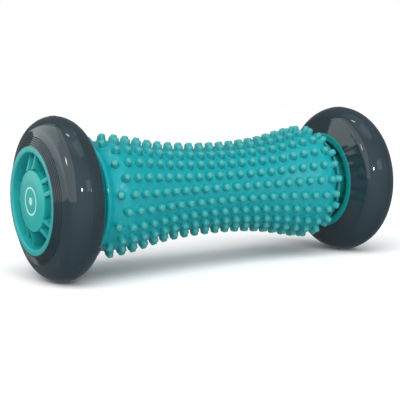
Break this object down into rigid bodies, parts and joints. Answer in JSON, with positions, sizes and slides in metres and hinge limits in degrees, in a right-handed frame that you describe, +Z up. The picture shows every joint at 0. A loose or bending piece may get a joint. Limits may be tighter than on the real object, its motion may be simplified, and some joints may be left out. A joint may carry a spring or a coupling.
{
  "type": "foot massage roller",
  "caption": "Foot massage roller: a waisted teal sleeve covered in round nubs, between two glossy dark wheels with spoked teal hubs that turn freely on the axle.",
  "frame": {"origin": "on the floor under the middle of the roller, between the two wheels' lowest points", "axes": "+X along the axle from the left wheel to the right wheel, +Y away from the user's front view, +Z up"},
  "size_m": [0.179, 0.072, 0.072],
  "materials": {
    "sleeve": "smooth satin soft-touch moulding",
    "tyre": "glossy cast polyurethane",
    "hub": "moulded, semi-gloss",
    "hub_cap": "moulded, semi-gloss",
    "core": "moulded, satin",
    "cage": "pressed, plain",
    "ball": "ground and polished",
    "steel": "zinc plated"
  },
  "bodies": {
    "core": {"massage_sleeve": "sleeve", "core_tube": "core", "axle": "steel", "left_core_plug": "core", "left_inner_spacer": "steel", "left_inboard_bearing_inner_race": "steel", "left_bearing_spacer": "steel", "left_outboard_bearing_inner_race": "steel", "left_washer": "steel", "left_axle_nut": "steel", "right_core_plug": "core", "right_inner_spacer": "steel", "right_inboard_bearing_inner_race": "steel", "right_bearing_spacer": "steel", "right_outboard_bearing_inner_race": "steel", "right_washer": "steel", "right_axle_nut": "steel"},
    "left_wheel": {"left_tyre": "tyre", "left_hub": "hub", "left_hub_cap": "hub_cap", "left_inboard_bearing_outer_race": "steel", "left_outboard_bearing_outer_race": "steel"},
    "right_wheel": {"right_tyre": "tyre", "right_hub": "hub", "right_hub_cap": "hub_cap", "right_inboard_bearing_outer_race": "steel", "right_outboard_bearing_outer_race": "steel"},
    "left_inboard_balls": {"left_inboard_bearing_ball_cage": "cage", "left_inboard_bearing_ball_1": "ball", "left_inboard_bearing_ball_2": "ball", "left_inboard_bearing_ball_3": "ball", "left_inboard_bearing_ball_4": "ball", "left_inboard_bearing_ball_5": "ball", "left_inboard_bearing_ball_6": "ball", "left_inboard_bearing_ball_7": "ball"},
    "left_outboard_balls": {"left_outboard_bearing_ball_cage": "cage", "left_outboard_bearing_ball_1": "ball", "left_outboard_bearing_ball_2": "ball", "left_outboard_bearing_ball_3": "ball", "left_outboard_bearing_ball_4": "ball", "left_outboard_bearing_ball_5": "ball", "left_outboard_bearing_ball_6": "ball", "left_outboard_bearing_ball_7": "ball"},
    "right_inboard_balls": {"right_inboard_bearing_ball_cage": "cage", "right_inboard_bearing_ball_1": "ball", "right_inboard_bearing_ball_2": "ball", "right_inboard_bearing_ball_3": "ball", "right_inboard_bearing_ball_4": "ball", "right_inboard_bearing_ball_5": "ball", "right_inboard_bearing_ball_6": "ball", "right_inboard_bearing_ball_7": "ball"},
    "right_outboard_balls": {"right_outboard_bearing_ball_cage": "cage", "right_outboard_bearing_ball_1": "ball", "right_outboard_bearing_ball_2": "ball", "right_outboard_bearing_ball_3": "ball", "right_outboard_bearing_ball_4": "ball", "right_outboard_bearing_ball_5": "ball", "right_outboard_bearing_ball_6": "ball", "right_outboard_bearing_ball_7": "ball"}
  },
  "joints": [
    {"name": "left_wheel_spin", "type": "hinge", "parent": "core", "child": "left_wheel", "pos_m": [-0.0776, 0, 0.036], "axis": [1, 0, 0], "continuous": true},
    {"name": "left_inboard_balls_orbit", "type": "hinge", "parent": "core", "child": "left_inboard_balls", "pos_m": [-0.0698, 0, 0.036], "axis": [1, 0, 0], "continuous": true},
    {"name": "left_outboard_balls_orbit", "type": "hinge", "parent": "core", "child": "left_outboard_balls", "pos_m": [-0.079, 0, 0.036], "axis": [1, 0, 0], "continuous": true},
    {"name": "right_wheel_spin", "type": "hinge", "parent": "core", "child": "right_wheel", "pos_m": [0.0776, 0, 0.036], "axis": [1, 0, 0], "continuous": true},
    {"name": "right_inboard_balls_orbit", "type": "hinge", "parent": "core", "child": "right_inboard_balls", "pos_m": [0.0698, 0, 0.036], "axis": [1, 0, 0], "continuous": true},
    {"name": "right_outboard_balls_orbit", "type": "hinge", "parent": "core", "child": "right_outboard_balls", "pos_m": [0.079, 0, 0.036], "axis": [1, 0, 0], "continuous": true}
  ],
  "couplings": [
    {"joint": "left_inboard_balls_orbit", "follows": "left_wheel_spin", "ratio": 0.6333},
    {"joint": "left_outboard_balls_orbit", "follows": "left_wheel_spin", "ratio": 0.6333},
    {"joint": "right_inboard_balls_orbit", "follows": "right_wheel_spin", "ratio": 0.6333},
    {"joint": "right_outboard_balls_orbit", "follows": "right_wheel_spin", "ratio": 0.6333}
  ]
}
